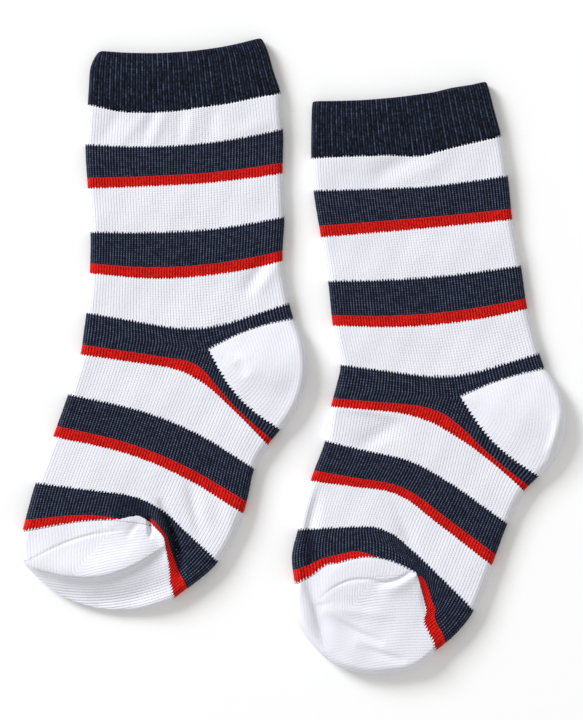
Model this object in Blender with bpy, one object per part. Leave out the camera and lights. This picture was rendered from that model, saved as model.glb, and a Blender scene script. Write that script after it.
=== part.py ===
"""A pair of child's striped socks, laid flat side by side with their heels to the right.

Each sock is one knitted tube, lying on its side, so that its face shows from the front fold edge
(shin and instep) to the back fold edge (calf and sole). It is made in this order: a rib cuff turned
double, the leg, a heel pocket worked to and fro on half the needles, the foot, and a toe pocket
worked like the heel. Heel and toe open as fans from a corner on the face, the gore.

The table of each sock has one row for each section: the plan position of the front fold, the gore
wale and the back fold, in millimetres, counted in knitted courses from the cuff's edge. Everything
else is worked out from these rows. Z is up, the cuffs point to +Y, and the origin lies on the
surface below the middle of the pair.
"""
import math
from collections import namedtuple

import bmesh
import bpy

MM = 0.001
MIDDLE = (-0.32, -0.28)   # the middle of the pair's box, in the tables' millimetres

# Cloth, in millimetres. The underside is pressed flat on the surface.
SEAM_GAP = 0.3        # clear space between two pieces where they are knitted together
FAN_GAP = 0.38        # the same beside heel and toe, where facets take up some of it
JERSEY = 2.3          # wall of leg and foot, plush cotton
POCKET = 2.2          # wall of heel and toe, knitted with a second yarn
WELT = 2.3            # wall of the cuff, which is turned double
LAYER_GAP = 0.4       # least space between upper and lower layer, which lie on each other
COURSE = 0.85         # height of one knitted row
TOP_ROUND = 3.6       # from a fold edge to where the top has its full height
FLOOR_ROUND = 2.3     # from a fold edge to where the cloth touches the surface
EDGE_LEVEL = 0.45     # height of a fold edge's widest point, as a share of the full height
RIM_CHAMFER = 0.5     # softening of the cuff's upper edge
RIM_DROP = 0.2        # how much flatter the cuff lies at that edge
BOW_SKEW = 1.25       # the front half of a row bows most beyond its middle
HEEL_FULL_AT = 0.7    # where a heel's swell is full, as a share of the way from the gore to the rim

# The knit, as counted along and across the sock.
GORE = 0.575          # the gore wale's place across the face, from the front fold
CUFF_END = 25         # courses from the cuff's edge to the leg
HEEL_AT = 129.5       # the course where the heel pocket is set in
TOE_AT = 220          # the course where the toe pocket starts
HALF_SEAM = 0.5 * SEAM_GAP / COURSE   # in courses
RIBS = 36             # ribs across the cuff's face
RIB_HEIGHT = 0.55     # from a rib's valley to its crest

Stripe = namedtuple("Stripe", "first last yarn")
STRIPES = (
    Stripe(25, 44, "white"),
    Stripe(44, 59, "navy"),
    Stripe(59, 64, "red"),
    Stripe(64, 83, "white"),
    Stripe(83, 98, "navy"),
    Stripe(98, 103, "red"),
    Stripe(103, 122, "white"),
    Stripe(122, HEEL_AT, "navy"),
    Stripe(HEEL_AT, 137, "navy"),
    Stripe(137, 142, "red"),
    Stripe(142, 161, "white"),
    Stripe(161, 176, "navy"),
    Stripe(176, 181, "red"),
    Stripe(181, 200, "white"),
    Stripe(200, 215, "navy"),
    Stripe(215, TOE_AT, "red"),
)
LONGEST_STEP = 9.6    # courses between two rings of the leg, at most

YARNS = {             # base colour, roughness
    "white": ((0.79, 0.80, 0.87), 0.85),
    "navy": ((0.018, 0.024, 0.048), 0.85),
    "red": ((0.52, 0.010, 0.006), 0.80),
}

# One section of a sock, a row of stitches: its ends at the two folds, and the corner where it turns.
# corner_at is the corner's place across the face, bend the share of the face over which it is
# rounded. front_bow and back_bow bend each half towards the cuff. height is the top of the cloth.
Section = namedtuple(
    "Section", "course front corner back corner_at bend front_bow back_bow height"
)

LEFT_LEG = (
    Section(0, (-73.5, 115.3), (-37.2, 113.2), (-12.3, 120.5), 0.575, 0.42, 0.0, 0.0, 5.2),
    Section(5, (-76.6, 111.3), (-36.9, 108.3), (-10.1, 115.9), 0.575, 0.42, -0.4, 0.0, 5.6),
    Section(14, (-77.8, 103.4), (-36.5, 99.9), (-7.8, 107.9), 0.575, 0.42, -0.8, 0.0, 5.7),
    Section(25, (-78.3, 94.9), (-35.7, 90.8), (-5.9, 99.8), 0.575, 0.42, -1.1, 0.0, 5.2),
    Section(44, (-79.2, 79.3), (-35.3, 77.3), (-4.1, 85.2), 0.575, 0.42, 0.0, 0.0, 4.9),
    Section(64, (-78.3, 62.8), (-35.7, 63.5), (-4.2, 68.5), 0.575, 0.42, 0.3, 0.0, 4.7),
    Section(83, (-77.3, 46.1), (-35.3, 44.7), (-3.6, 51.9), 0.575, 0.42, 0.3, 0.0, 4.7),
    Section(103, (-77.6, 30.7), (-35.7, 26.8), (-4.2, 35.4), 0.575, 0.40, -0.2, 0.0, 4.8),
    Section(122, (-78.9, 15.6), (-34.1, 7.6), (-1.6, 19.1), 0.575, 0.20, 0.0, 0.4, 5.0),
    Section(129.5, (-79.7, 9.5), (-32.5, 1.5), (0.0, 13.3), 0.575, 0.0, 0.0, 1.9, 5.2),
)
LEFT_FOOT = (
    Section(129.5, (-79.7, 9.5), (-32.5, 1.5), (-5.4, -28.7), 0.575, 0.0, 0.0, -3.6, 5.2),
    Section(142, (-81.2, -0.1), (-38.6, -6.3), (-10.1, -34.6), 0.535, 0.15, 0.0, -0.6, 5.2),
    Section(161, (-85.9, -15.3), (-45.6, -24.0), (-15.1, -43.5), 0.53, 0.30, 0.0, 0.0, 5.2),
    Section(181, (-91.6, -31.2), (-52.8, -39.3), (-19.3, -60.4), 0.51, 0.30, 0.0, 0.0, 5.3),
    Section(200, (-98.2, -48.9), (-55.1, -54.0), (-29.0, -78.8), 0.55, 0.15, -0.2, 0.0, 5.7),
    Section(220, (-103.2, -67.1), (-55.6, -62.4), (-45.9, -92.8), 0.575, 0.0, 2.2, 4.0, 6.4),
)
RIGHT_LEG = (
    Section(0, (7.0, 96.3), (44.5, 96.9), (73.0, 103.9), 0.575, 0.42, 0.0, 0.0, 5.2),
    Section(5, (6.7, 93.0), (45.0, 92.5), (74.2, 100.2), 0.575, 0.42, 0.0, 0.0, 5.6),
    Section(14, (6.5, 85.4), (46.1, 84.7), (76.0, 93.1), 0.575, 0.42, 0.0, 0.0, 5.7),
    Section(25, (6.5, 75.0), (47.9, 74.5), (78.7, 83.0), 0.575, 0.42, 0.4, 0.0, 5.2),
    Section(44, (7.4, 61.8), (49.8, 62.2), (81.2, 67.5), 0.575, 0.42, 0.3, 0.0, 4.9),
    Section(64, (10.2, 44.3), (52.1, 47.7), (83.0, 51.0), 0.575, 0.42, 0.0, 0.0, 4.7),
    Section(83, (12.9, 27.5), (55.1, 28.0), (86.2, 33.4), 0.575, 0.42, 0.0, 0.0, 4.7),
    Section(103, (14.7, 10.8), (57.4, 9.4), (88.7, 17.3), 0.575, 0.40, 0.0, 0.0, 4.8),
    Section(122, (17.5, -4.2), (61.7, -10.2), (93.3, 0.1), 0.575, 0.20, 0.0, 0.4, 5.0),
    Section(129.5, (16.0, -11.8), (62.9, -16.3), (95.3, -5.5), 0.575, 0.0, 0.0, 1.3, 5.2),
)
RIGHT_FOOT = (
    Section(129.5, (16.0, -11.8), (62.9, -16.3), (92.5, -46.4), 0.575, 0.0, 0.0, -3.2, 5.2),
    Section(142, (13.9, -19.8), (54.0, -23.3), (86.8, -52.4), 0.50, 0.25, 0.0, -0.6, 5.2),
    Section(161, (11.6, -32.9), (50.6, -42.7), (80.9, -64.4), 0.51, 0.25, 0.0, 0.0, 5.2),
    Section(181, (6.1, -48.0), (39.2, -52.4), (75.0, -80.1), 0.44, 0.12, 0.0, 0.0, 5.3),
    Section(200, (1.3, -66.7), (35.0, -65.4), (68.0, -97.3), 0.45, 0.10, 0.4, 0.4, 5.8),
    Section(210, (-0.9, -76.4), (44.6, -74.2), (61.6, -105.6), 0.55, 0.15, 4.0, 0.0, 6.2),
    Section(220, (0.2, -87.0), (46.6, -83.0), (53.3, -112.7), 0.575, 0.0, 7.9, 0.0, 6.6),
)

# The rim of a toe pocket, seen from its gore: the turn from the front half's line, as a share of the
# whole turn to the back half's line, and the reach to the fold edge.
ToeRim = namedtuple("ToeRim", "turn reach")
LEFT_TOE = (
    ToeRim(0.00, 47.8), ToeRim(0.11, 49.9), ToeRim(0.21, 47.5), ToeRim(0.34, 43.9),
    ToeRim(0.50, 39.4), ToeRim(0.68, 35.5), ToeRim(0.86, 33.1), ToeRim(1.00, 31.9),
)
RIGHT_TOE = (
    ToeRim(0.00, 46.6), ToeRim(0.15, 48.9), ToeRim(0.30, 47.9), ToeRim(0.43, 46.6),
    ToeRim(0.54, 44.0), ToeRim(0.71, 39.1), ToeRim(0.86, 35.5), ToeRim(1.00, 30.5),
)

# A fold or trough in the upper layer: its line on the plan, how far that bows to its left, its height
# (a trough's is negative) and how wide it is to the left and to the right of the line.
Fold = namedtuple("Fold", "name start end bow height left right")
LEFT_FOLDS = (
    Fold("toe tuck", (-101.5, -79.5), (-48.5, -70.5), -7.6, 3.0, 8.0, 1.7),
    Fold("toe slope", (-99.0, -83.0), (-45.0, -86.0), -8.5, -2.2, 6.0, 6.0),
    Fold("gore tuck", (-72.0, -62.0), (-54.0, -63.0), 2.0, 1.2, 2.2, 4.0),
    Fold("sole valley", (-52.5, -57.5), (-42.0, -85.0), 1.2, -1.6, 1.7, 1.7),
    Fold("below cuff 1", (-67.0, 95.0), (-74.5, 79.5), 0.0, -0.6, 2.4, 2.4),
    Fold("below cuff 2", (-54.5, 94.0), (-62.5, 77.0), 0.0, -0.6, 1.8, 1.8),
    Fold("below cuff 3", (-45.2, 94.5), (-49.8, 76.5), 0.0, -0.6, 1.9, 1.9),
    Fold("below cuff 4", (-32.5, 95.5), (-34.8, 78.0), 0.0, -0.6, 2.6, 2.6),
    Fold("ankle trough", (-9.0, 38.5), (-19.5, 22.0), 0.0, -1.1, 2.0, 2.4),
    Fold("heel crown", (-27.0, -2.0), (-1.5, -13.0), 1.0, 0.9, 5.0, 4.5),
    Fold("arch trough", (-40.5, -45.5), (-35.0, -70.0), 0.0, -0.9, 2.6, 2.2),
)
RIGHT_FOLDS = (
    Fold("instep trough", (10.0, -49.0), (5.0, -81.0), -1.5, -1.3, 1.9, 1.9),
    Fold("toe side trough", (4.8, -77.0), (11.5, -108.5), -1.1, -1.8, 1.9, 2.1),
    Fold("toe edge roll", (1.5, -72.0), (9.0, -112.0), -2.5, 1.3, 2.5, 2.0),
    Fold("toe crown", (10.0, -86.0), (44.0, -82.0), 6.0, 1.2, 4.0, 9.0),
    Fold("toe crease", (14.5, -99.0), (34.5, -107.6), -1.2, -1.4, 1.8, 3.0),
    Fold("toe tip crease", (25.5, -109.5), (40.0, -114.8), -0.4, -1.0, 1.8, 2.2),
    Fold("sole kink", (49.0, -86.0), (53.0, -101.0), -1.0, -0.7, 1.6, 1.6),
    Fold("below cuff trough", (46.0, 74.5), (29.0, 65.5), 0.0, -1.3, 2.0, 2.2),
    Fold("below cuff ridge", (58.0, 74.5), (36.5, 63.5), 0.0, 0.7, 2.6, 2.4),
    Fold("instep hollow", (40.5, -24.5), (23.0, -36.5), 0.0, -1.0, 2.2, 2.4),
    Fold("arch hollow", (37.5, -55.0), (47.0, -78.0), 0.0, -0.7, 3.2, 3.0),
)

# How far a heel's outline stands out beyond an even sweep between its two ends, and how far heel
# and toe swell above the line between their two edges.
Sock = namedtuple("Sock", "side leg foot toe folds heel_bulge heel_swell toe_swell")
SOCKS = (
    Sock("left", LEFT_LEG, LEFT_FOOT, LEFT_TOE, LEFT_FOLDS, 0.8, 1.5, 0.6),
    Sock("right", RIGHT_LEG, RIGHT_FOOT, RIGHT_TOE, RIGHT_FOLDS, 3.1, 1.7, 0.7),
)

# Cells of the solids: quarter arcs of a fold edge, cells across each part of the face, and cells
# round a pocket's fan.
ARC_CELLS = 3
LEG_CELLS = (11, 9)
CUFF_FLOOR_CELLS = (4, 4)
CUFF_RINGS = (5.0, 11.0, 18.0)   # courses of the cuff's rings between its two edges
CUFF_FOLD_RINGS = (11.0,)        # the same on its inside
HEEL_CELLS = 7
HEEL_STEPS = 12
TOE_CELLS = 10
TOE_STEPS = 20
GORE_START = 1.3      # the fans start this far from the gore
LENGTH_STEPS = 8      # steps in which the length of a row is measured


# ---------------------------------------------------------------- curves


def lerp(a, b, share):
    return a + (b - a) * share


def smooth_through(knots, values, at):
    """The value at one place on a smooth curve through values at uneven knots."""
    last = len(knots) - 1
    i = max(k for k in range(last) if knots[k] <= at or k == 0)
    span = knots[i + 1] - knots[i]

    def slope(k):
        low, high = max(k - 1, 0), min(k + 1, last)
        return (values[high] - values[low]) / (knots[high] - knots[low])

    t = (at - knots[i]) / span
    rise_in = slope(i) * span
    rise_out = slope(i + 1) * span
    start, end = values[i], values[i + 1]
    return (
        (2 * t**3 - 3 * t**2 + 1) * start
        + (t**3 - 2 * t**2 + t) * rise_in
        + (3 * t**2 - 2 * t**3) * end
        + (t**3 - t**2) * rise_out
    )


def section_at(sections, course):
    """The section at any course, from a smooth curve through the table's rows."""
    knots = [s.course for s in sections]

    def field(pick):
        return smooth_through(knots, [pick(s) for s in sections], course)

    def place(name):
        return tuple(field(lambda s: getattr(s, name)[axis]) for axis in (0, 1))

    return Section(
        course,
        place("front"),
        place("corner"),
        place("back"),
        field(lambda s: s.corner_at),
        max(field(lambda s: s.bend), 0.0),
        field(lambda s: s.front_bow),
        field(lambda s: s.back_bow),
        field(lambda s: s.height),
    )


def row_place(section, u):
    """The plan position on one row, at u from the front fold (0) to the back fold (1)."""
    front, corner, back, corner_at = section[1:5]
    bend = section.bend
    if u <= corner_at - bend:
        turned = 0.0
    elif u < corner_at + bend:
        turned = (u - corner_at + bend) ** 2 / (4 * bend)
    else:
        turned = u - corner_at
    front_share = (u - turned) / corner_at
    back_share = turned / (1 - corner_at)
    x, y = (
        front[k] + (corner[k] - front[k]) * front_share + (back[k] - corner[k]) * back_share
        for k in (0, 1)
    )
    if u < corner_at:
        start, end, bow, share = front, corner, section.front_bow, (u / corner_at) ** BOW_SKEW
    else:
        start, end, bow, share = corner, back, section.back_bow, (u - corner_at) / (1 - corner_at)
    run, rise = end[0] - start[0], end[1] - start[1]
    lift = bow * math.sin(math.pi * share) / math.hypot(run, rise)
    return x - rise * lift, y + run * lift


def row_length(section, start, end):
    """The length of part of a row on the plan."""
    shares = [k / LENGTH_STEPS for k in range(LENGTH_STEPS + 1)]
    places = [row_place(section, lerp(start, end, share)) for share in shares]
    return sum(math.dist(a, b) for a, b in zip(places, places[1:]))


def fold_height(folds, x, y):
    """How far all folds together lift (or lower) the upper layer at one place."""
    total = 0.0
    for fold in folds:
        run = fold.end[0] - fold.start[0]
        rise = fold.end[1] - fold.start[1]
        length = math.hypot(run, rise)
        east, north = x - fold.start[0], y - fold.start[1]
        along = (east * run + north * rise) / length**2
        if not 0.0 < along < 1.0:
            continue
        taper = math.sin(math.pi * along)
        leftwards = (north * run - east * rise) / length - fold.bow * taper
        width = fold.left if leftwards > 0 else fold.right
        total += fold.height * math.sqrt(taper) * math.exp(-((leftwards / width) ** 2))
    return total


# ---------------------------------------------------------------- cross-sections


def arc_stations(radius, inset):
    """From a fold edge inwards: (distance from the edge, share of the rise), edge point first."""
    stations = []
    for k in range(ARC_CELLS):
        angle = 0.5 * math.pi * k / ARC_CELLS
        stations.append((inset + (radius - inset) * (1 - math.cos(angle)), math.sin(angle)))
    return stations


def level_top(height, inset, rise, lift):
    """Height of the upper layer: its outside, or its inside when inset is the cloth's wall."""
    edge = EDGE_LEVEL * height
    level = height + lift
    if inset:
        level = max(height + min(lift, 0.0) - inset, inset + LAYER_GAP)
    return edge + (level - edge) * rise


def level_floor(height, inset, rise):
    edge = EDGE_LEVEL * height
    return edge - (edge - inset) * rise


def ring(sock, section, inset, top_cells, floor_cells, rib=0.0):
    """The points round one row: over the top from front to back, then back along the floor."""
    per_front = GORE / row_length(section, 0.0, GORE)
    per_back = (1 - GORE) / row_length(section, GORE, 1.0)

    def across(radius, cells):
        edge = arc_stations(radius, inset)
        front = [(distance * per_front, rise) for distance, rise in edge]
        back = [(1 - distance * per_back, rise) for distance, rise in reversed(edge)]
        start, end = radius * per_front, 1 - radius * per_back
        middle = [(lerp(start, GORE, k / cells[0]), 1.0) for k in range(cells[0])]
        middle += [(lerp(GORE, end, k / cells[1]), 1.0) for k in range(cells[1] + 1)]
        return front + middle + back

    points = []
    over = across(TOP_ROUND, top_cells)
    first, last = ARC_CELLS, len(over) - 1 - ARC_CELLS
    for k, (u, rise) in enumerate(over):
        x, y = row_place(section, u)
        z = level_top(section.height, inset, rise, fold_height(sock.folds, x, y))
        if first < k < last and k % 2 == 0:
            z -= rib
        points.append((x, y, z))
    for u, rise in reversed(across(FLOOR_ROUND, floor_cells)[1:-1]):
        x, y = row_place(section, u)
        points.append((x, y, level_floor(section.height, inset, rise)))
    return points


def fan_row(sock, place, height, reach, inset, cells):
    """The points of one row of a pocket: from the gore over the top to the rim, and back below."""

    def inwards(radius):
        ends = [(reach - d, rise) for d, rise in reversed(arc_stations(radius, inset))]
        return [(lerp(GORE_START, reach - radius, k / cells), 1.0) for k in range(cells + 1)] + ends

    points = []
    for distance, rise in inwards(TOP_ROUND):
        x, y = place(distance)
        z = level_top(height(distance), inset, rise, fold_height(sock.folds, x, y))
        points.append((x, y, z))
    for distance, rise in reversed(inwards(FLOOR_ROUND)[:-1]):
        x, y = place(distance)
        points.append((x, y, level_floor(height(distance), inset, rise)))
    return points


# ---------------------------------------------------------------- solids


def add_wall(bm, outer, inner, closed, first_edge, last_edge, slots=None):
    """Faces of a cloth wall between an outer and an inner grid of points.

    outer and inner are lists of rows. first_edge and last_edge give the stations over which the
    wall's cut edge at the first and last row shows. A wall that isn't a closed ring also has a cut
    edge along each of its two sides. slots gives each outer row of faces its material.
    """

    def vertex(x, y, z):
        return bm.verts.new(((x - MIDDLE[0]) * MM, (y - MIDDLE[1]) * MM, z * MM))

    outer = [[vertex(*point) for point in row] for row in outer]
    inner = [[vertex(*point) for point in row] for row in inner]
    count = len(outer[0])
    spans = range(count if closed else count - 1)

    def face(*corners, slot=0):
        bm.faces.new(corners).material_index = slot

    for r, (upper, lower) in enumerate(zip(outer, outer[1:])):
        for k in spans:
            n = (k + 1) % count
            face(upper[k], lower[k], lower[n], upper[n], slot=slots[r] if slots else 0)
    for r, (upper, lower) in enumerate(zip(inner, inner[1:])):
        for k in spans:
            n = (k + 1) % count
            face(upper[n], lower[n], lower[k], upper[k], slot=slots[r] if slots else 0)
    for k in spans:
        n = (k + 1) % count
        if k in first_edge:
            face(outer[0][k], outer[0][n], inner[0][n], inner[0][k])
        if k in last_edge:
            face(outer[-1][n], outer[-1][k], inner[-1][k], inner[-1][n])
    if not closed:
        for r in range(len(outer) - 1):
            face(outer[r + 1][0], outer[r][0], inner[r][0], inner[r + 1][0])
            face(outer[r][-1], outer[r + 1][-1], inner[r + 1][-1], inner[r][-1])


def material(name, yarn):
    """A Principled material of one yarn."""
    colour, roughness = YARNS[yarn]
    made = bpy.data.materials.new(name)
    made.use_nodes = True
    shader = made.node_tree.nodes["Principled BSDF"]
    shader.inputs["Base Color"].default_value = (*colour, 1.0)
    shader.inputs["Roughness"].default_value = roughness
    shader.inputs["Metallic"].default_value = 0.0
    return made


def finish(bm, name, yarns):
    """Turns the mesh into a named object, one material for each yarn."""
    merge = 0.01 * MM
    bmesh.ops.remove_doubles(bm, verts=bm.verts, dist=merge)
    bmesh.ops.recalc_face_normals(bm, faces=bm.faces)
    mesh = bpy.data.meshes.new(name)
    bm.to_mesh(mesh)
    bm.free()
    for yarn in yarns:
        mesh.materials.append(material(f"{name}_{yarn}", yarn))
    mesh.shade_smooth()
    made = bpy.data.objects.new(name, mesh)
    bpy.context.scene.collection.objects.link(made)
    return made


def make_cuff(sock):
    """The rib cuff: knitted twice as long and turned in, so its wall is double."""
    rib_cells = (round(GORE * 2 * RIBS), round((1 - GORE) * 2 * RIBS))
    first = RIM_CHAMFER / COURSE
    last = CUFF_END - HALF_SEAM

    def rows(inset, wanted, rib):
        made = []
        for course in wanted:
            section = section_at(sock.leg, course)
            depth = inset
            if course == 0.0:
                depth = abs(inset - RIM_CHAMFER)
                section = section._replace(height=section.height - RIM_DROP)
            made.append(ring(sock, section, depth, rib_cells, CUFF_FLOOR_CELLS, rib))
        return made

    outer = rows(0.0, (0.0, first, *CUFF_RINGS, last), RIB_HEIGHT)
    inner = rows(WELT, (0.0, *CUFF_FOLD_RINGS, last), 0.0)
    bm = bmesh.new()
    everywhere = range(len(outer[0]))
    add_wall(bm, outer, inner, True, everywhere, everywhere)
    return finish(bm, f"{sock.side}_cuff", ("navy",))


def make_leg(sock):
    """Leg and foot in one tube, slit behind the gore wale, where the heel pocket is set in."""
    yarns = ("white", "navy", "red")
    bm = bmesh.new()
    for sections, first, last in (
        (sock.leg, CUFF_END + HALF_SEAM, HEEL_AT),
        (sock.foot, HEEL_AT, TOE_AT),
    ):
        courses, slots = [first], []
        for stripe in STRIPES:
            if stripe.last <= first or stripe.first >= last:
                continue
            start = courses[-1]
            steps = math.ceil((stripe.last - start) / LONGEST_STEP)
            courses += [lerp(start, stripe.last, k / steps) for k in range(1, steps + 1)]
            slots += [yarns.index(stripe.yarn)] * steps
        rows = [section_at(sections, course) for course in courses]
        outer = [ring(sock, row, 0.0, LEG_CELLS, LEG_CELLS) for row in rows]
        inner = [ring(sock, row, JERSEY, LEG_CELLS, LEG_CELLS) for row in rows]
        everywhere = range(len(outer[0]))
        gore_top = ARC_CELLS + LEG_CELLS[0]
        gore_floor = gore_top + 2 * (LEG_CELLS[1] + ARC_CELLS)
        slit = range(gore_top, gore_floor)
        if sections is sock.leg:
            add_wall(bm, outer, inner, True, everywhere, slit, slots)
        else:
            add_wall(bm, outer, inner, True, slit, everywhere, slots)
    return finish(bm, f"{sock.side}_leg", yarns)


def polar(centre, place):
    """Turn (anticlockwise from +X) and distance of a place from a centre."""
    east, north = place[0] - centre[0], place[1] - centre[1]
    return math.atan2(north, east), math.hypot(east, north)


def make_heel(sock):
    """The heel pocket: a fan from the gore between the two lips of the leg's slit."""
    upper, lower = sock.leg[-1], sock.foot[0]
    gore = upper.corner

    def row(step, inset):
        swing = step / HEEL_STEPS
        bulge = sock.heel_bulge * math.sin(math.pi * swing)
        reach = lerp(math.dist(gore, upper.back), math.dist(gore, lower.back), swing) + bulge

        def place(distance):
            u = lerp(GORE, 1.0, distance / reach)
            start, far = polar(gore, row_place(upper, u))
            end, farther = polar(gore, row_place(lower, u))
            clear = FAN_GAP / distance
            turn = lerp(start - clear, end + clear, swing)
            out = lerp(far, farther, swing) + bulge * (distance / reach) ** 2
            return gore[0] + out * math.cos(turn), gore[1] + out * math.sin(turn)

        def height(distance):
            swell = sock.heel_swell * math.sin(math.pi * swing)
            spread = math.sin(0.5 * math.pi * min(distance / reach / HEEL_FULL_AT, 1.0))
            return lerp(upper.height, lower.height, swing) + swell * spread

        return fan_row(sock, place, height, reach, inset, HEEL_CELLS)

    steps = range(HEEL_STEPS + 1)
    outer = [row(step, 0.0) for step in steps]
    inner = [row(step, POCKET) for step in steps]
    bm = bmesh.new()
    everywhere = range(len(outer[0]))
    add_wall(bm, outer, inner, False, everywhere, everywhere)
    return finish(bm, f"{sock.side}_heel", ("white",))


def make_toe(sock):
    """The toe pocket: a fan from the gore that closes the end of the foot."""
    end = sock.foot[-1]
    gore = end.corner
    turns = [rim.turn for rim in sock.toe]
    reaches = [rim.reach for rim in sock.toe]

    def row(step, inset):
        swing = step / TOE_STEPS
        reach = smooth_through(turns, reaches, swing)

        def place(distance):
            share = distance / reach
            start, far = polar(gore, row_place(end, GORE * (1 - share)))
            stop, farther = polar(gore, row_place(end, lerp(GORE, 1.0, share)))
            start %= 2 * math.pi
            stop %= 2 * math.pi
            clear = FAN_GAP / distance
            turn = lerp(start + clear, stop - clear, swing)
            even = lerp(math.dist(gore, end.front), math.dist(gore, end.back), swing)
            out = lerp(far, farther, swing) * lerp(1.0, reach / even, share)
            return gore[0] + out * math.cos(turn), gore[1] + out * math.sin(turn)

        level = end.height + sock.toe_swell * math.sin(math.pi * swing)
        return fan_row(sock, place, lambda _: level, reach, inset, TOE_CELLS)

    steps = range(TOE_STEPS + 1)
    outer = [row(step, 0.0) for step in steps]
    inner = [row(step, POCKET) for step in steps]
    bm = bmesh.new()
    everywhere = range(len(outer[0]))
    add_wall(bm, outer, inner, False, everywhere, everywhere)
    return finish(bm, f"{sock.side}_toe", ("white",))


for old in list(bpy.data.objects):
    bpy.data.objects.remove(old, do_unlink=True)

for sock in SOCKS:
    make_cuff(sock)
    make_leg(sock)
    make_heel(sock)
    make_toe(sock)
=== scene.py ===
import math
from collections import namedtuple

import bmesh
import bpy
import numpy as np
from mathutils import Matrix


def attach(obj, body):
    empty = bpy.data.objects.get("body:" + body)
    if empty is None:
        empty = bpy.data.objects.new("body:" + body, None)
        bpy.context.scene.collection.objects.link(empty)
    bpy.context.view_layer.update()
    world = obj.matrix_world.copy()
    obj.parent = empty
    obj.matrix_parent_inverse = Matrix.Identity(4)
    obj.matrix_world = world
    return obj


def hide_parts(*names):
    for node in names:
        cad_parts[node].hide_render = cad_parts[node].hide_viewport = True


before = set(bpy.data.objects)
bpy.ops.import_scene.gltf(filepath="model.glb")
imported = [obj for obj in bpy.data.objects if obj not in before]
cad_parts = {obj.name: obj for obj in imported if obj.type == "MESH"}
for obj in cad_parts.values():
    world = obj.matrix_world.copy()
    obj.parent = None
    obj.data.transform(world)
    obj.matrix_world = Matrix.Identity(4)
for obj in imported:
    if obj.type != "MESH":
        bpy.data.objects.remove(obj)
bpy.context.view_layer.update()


# ---------------- table top, light and view
# A plain white table top under one broad soft lamp from the upper left. White walls all round fill
# the shadows. The camera hangs straight above the pair, far enough off to see both from above.
TABLE_SIZE = 3.0
TABLE_LEVEL = -0.00005  # a hair below the frame's zero
SHOWN_HEIGHT = 0.2736  # how much of the table top the camera shows, and where its middle is
SHOWN_MIDDLE = (-0.00063, -0.00162)
CAMERA_HEIGHT = 1.6
CAMERA_SENSOR = 36.0  # in millimetres
LAMP_PLACE = (-4.1, 3.3, 2.8)
LAMP_SIZE = 2.2
LAMP_POWER = 356.0
LAMP_COLOUR = (0.985, 1.0, 1.04)
ROOM_LIGHT = 0.6
ROOM_COLOUR = (1.01, 1.0, 0.97, 1.0)


def linear(red, green, blue):
    """A colour given as on a screen, 0 to 255, as the light it stands for."""
    shares = [part / 255 for part in (red, green, blue)]
    return tuple(s / 12.92 if s <= 0.04045 else ((s + 0.055) / 1.055) ** 2.4 for s in shares) + (1.0,)


bpy.ops.object.select_all(action="DESELECT")
bpy.ops.mesh.primitive_plane_add(size=TABLE_SIZE, location=(0, 0, TABLE_LEVEL))
table = bpy.context.object
table.name = "table_top"
table_white = bpy.data.materials.new("table_white")
table_white.use_nodes = True
table_shader = table_white.node_tree.nodes["Principled BSDF"]
table_shader.inputs["Base Color"].default_value = linear(250, 250, 250)
table_shader.inputs["Roughness"].default_value = 0.7
table_shader.inputs["Specular IOR Level"].default_value = 0.2
table.data.materials.append(table_white)

bpy.ops.object.light_add(type="AREA", location=LAMP_PLACE)
lamp = bpy.context.object
lamp.name = "soft_lamp"
lamp.data.size = LAMP_SIZE
lamp.data.energy = LAMP_POWER
lamp.data.color = LAMP_COLOUR
lamp.rotation_euler = lamp.location.to_track_quat("Z", "Y").to_euler()

room = bpy.data.worlds.new("white_room")
room.use_nodes = True
walls = room.node_tree.nodes["Background"]
walls.inputs["Color"].default_value = ROOM_COLOUR
walls.inputs["Strength"].default_value = ROOM_LIGHT
bpy.context.scene.world = room
bpy.context.scene.view_settings.view_transform = "Standard"

bpy.ops.object.camera_add(location=(*SHOWN_MIDDLE, CAMERA_HEIGHT), rotation=(0, 0, 0))
camera = bpy.context.object
camera.data.sensor_fit = "VERTICAL"
camera.data.sensor_height = CAMERA_SENSOR
camera.data.lens = CAMERA_SENSOR * CAMERA_HEIGHT / SHOWN_HEIGHT
bpy.context.scene.camera = camera


# ---------------- rib cuffs
# Each cuff is knitted in plain one-and-one rib, navy cotton with a little elastic, twice as long as
# it shows, and turned in, so its upper edge is a fold. Every second wale stands back as a valley.
MM = 0.001            # sizes, and places on the plan of the table top, are in millimetres
MIDDLE = (-0.32, -0.28)  # the middle of the pair's box on the plan, the frame's origin
COURSE = 0.85         # height of one knitted row
TOP_ROUND = 2.8       # from a fold edge to where the top has its full height
FLOOR_ROUND = 2.3     # from a fold edge to where the cloth touches the table
EDGE_LEVEL = 0.45     # height of a fold edge's widest point, as a share of the full height
USUAL_HEIGHT = 5.2    # of the two layers together, for measuring across a fold edge
BOW_SKEW = 1.25       # front halves bow most beyond their middle
TOE_SKEW = ((200, 220), (1.0, 0.6))  # back halves bow most nearer the gore, as courses near the toe
GORE = 0.575          # the gore wale's place across the face, from the front fold
FACE_WALES = 72       # wales across the face, and as many below
GORE_WALE = 42        # the gore wale, counted from the front fold
ROUND_WALES = 2 * FACE_WALES
FINE_WALES = (-4, 76)  # the wales that show: the face and a little round both fold edges
HALF_WALES = np.arange(FINE_WALES[0], FINE_WALES[0] + ROUND_WALES + 0.25, 0.5)[None, :]
CUFF_END = 25         # courses from the cuff's edge to the leg
KNIT_GAP = 0.05       # half the width of the line between two pieces, in courses
FAR = -9.0            # courses to a join, wherever none is near
WELT = 2.0            # wall of the cuff, which is turned double
RIB_DEPTH = 0.22      # from a rib's crest to the valley beside it
RIB_FULLNESS = 2.2    # how much wider a rib's crest is than its valley
LEAN = -0.35          # how far a stitch's middle lies up the wale from its two ends, in courses
VALLEY = 0.15         # depth of the valley between two wales
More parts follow.
